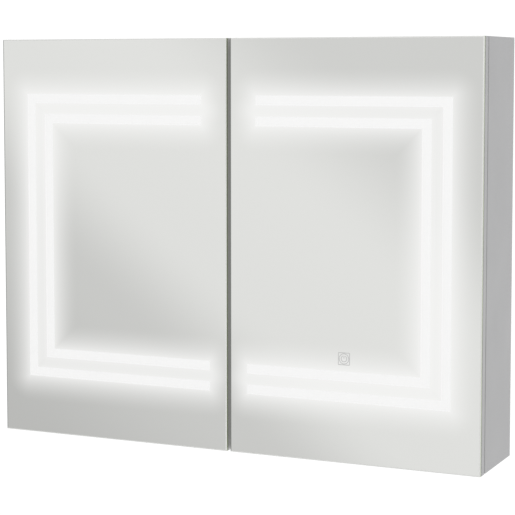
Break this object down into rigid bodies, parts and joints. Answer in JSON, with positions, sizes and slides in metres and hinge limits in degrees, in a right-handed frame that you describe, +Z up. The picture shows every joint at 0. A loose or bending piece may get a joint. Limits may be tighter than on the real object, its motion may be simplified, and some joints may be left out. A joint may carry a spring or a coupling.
{
  "type": "medicine cabinet with mirror",
  "caption": "Wall-hung bathroom mirror cabinet: hinged mirror doors with lit frosted bands over a shallow shelved body.",
  "frame": {"origin": "centre of the wall fixing holes, on the wall plane, which is also the centre of the back", "axes": "+X to the right when facing the doors, +Y into the wall so the doors face -Y, +Z up"},
  "size_m": [0.76, 0.145, 0.6],
  "materials": {
    "body_aluminium": "satin anodised",
    "door_aluminium": "satin anodised",
    "white_paint": "fine powder coat",
    "key_zinc": "die-cast zinc",
    "plated_steel": "zinc plated",
    "hinge_nickel": "nickel plated",
    "pin_steel": "polished",
    "spring_steel": "drawn wire",
    "mirror_glass": "silvered behind clear glass",
    "frosted_glass": "etched, lit from behind",
    "tape_foam": "closed-cell foam",
    "lamp_board": "lit",
    "opal_plastic": "opal, lit from behind",
    "clear_glass": "polished edges",
    "clear_rubber": "clear silicone",
    "black_rubber": "matt",
    "lead_sheath": "smooth",
    "clip_plastic": "moulded",
    "driver_case": "moulded",
    "terminal_plastic": "moulded",
    "sensor_board": "potted",
    "touch_mark": "etched"
  },
  "bodies": {
    "cabinet": {"left_side": "body_aluminium", "right_side": "body_aluminium", "top_panel": "body_aluminium", "bottom_panel": "body_aluminium", "back_panel": "white_paint", "body_corner_keys": "key_zinc", "corner_key_screws": "plated_steel", "hanger_plates": "plated_steel", "shelf_pins": "hinge_nickel", "driver_housing": "white_paint", "housing_screws": "plated_steel", "led_driver": "driver_case", "terminal_block": "terminal_plastic", "inlet_grommet": "black_rubber", "lead_clips": "clip_plastic", "door_bumpers": "clear_rubber", "hinge_screws": "plated_steel", "left_door_lead": "lead_sheath", "left_hinge_arms": "hinge_nickel", "left_hinge_plates": "hinge_nickel", "right_door_lead": "lead_sheath", "right_hinge_arms": "hinge_nickel", "right_hinge_plates": "hinge_nickel"},
    "left_door": {"left_mirror_glass": "mirror_glass", "left_frosted_bands": "frosted_glass", "left_mirror_tape": "tape_foam", "left_hinge_stile": "door_aluminium", "left_meeting_stile": "door_aluminium", "left_top_rail": "door_aluminium", "left_bottom_rail": "door_aluminium", "left_door_corner_keys": "key_zinc", "left_door_sheet": "white_paint", "left_light_channel": "white_paint", "left_led_strip": "lamp_board", "left_diffuser": "opal_plastic", "left_hinge_cups": "hinge_nickel", "left_hinge_pins": "pin_steel", "left_hinge_springs": "spring_steel", "left_cup_screws": "plated_steel"},
    "right_door": {"right_mirror_glass": "mirror_glass", "right_frosted_bands": "frosted_glass", "right_mirror_tape": "tape_foam", "right_hinge_stile": "door_aluminium", "right_meeting_stile": "door_aluminium", "right_top_rail": "door_aluminium", "right_bottom_rail": "door_aluminium", "right_door_corner_keys": "key_zinc", "right_door_sheet": "white_paint", "right_light_channel": "white_paint", "right_led_strip": "lamp_board", "right_diffuser": "opal_plastic", "right_hinge_cups": "hinge_nickel", "right_hinge_pins": "pin_steel", "right_hinge_springs": "spring_steel", "right_cup_screws": "plated_steel", "touch_sensor": "sensor_board", "touch_mark": "touch_mark"},
    "upper_shelf": {"upper_shelf": "clear_glass"},
    "lower_shelf": {"lower_shelf": "clear_glass"}
  },
  "joints": [
    {"name": "left_door_swing", "type": "hinge", "parent": "cabinet", "child": "left_door", "pos_m": [-0.3737, -0.134, 0], "axis": [0, 0, -1], "range_deg": [0, 100], "deforming": ["left_door_lead"]},
    {"name": "right_door_swing", "type": "hinge", "parent": "cabinet", "child": "right_door", "pos_m": [0.3737, -0.134, 0], "axis": [0, 0, 1], "range_deg": [0, 100], "deforming": ["right_door_lead"]},
    {"name": "upper_shelf_lift", "type": "slide", "parent": "cabinet", "child": "upper_shelf", "axis": [0, 0, 1], "range_m": [0, 0.032]},
    {"name": "lower_shelf_lift", "type": "slide", "parent": "cabinet", "child": "lower_shelf", "axis": [0, 0, 1], "range_m": [0, 0.032]}
  ]
}
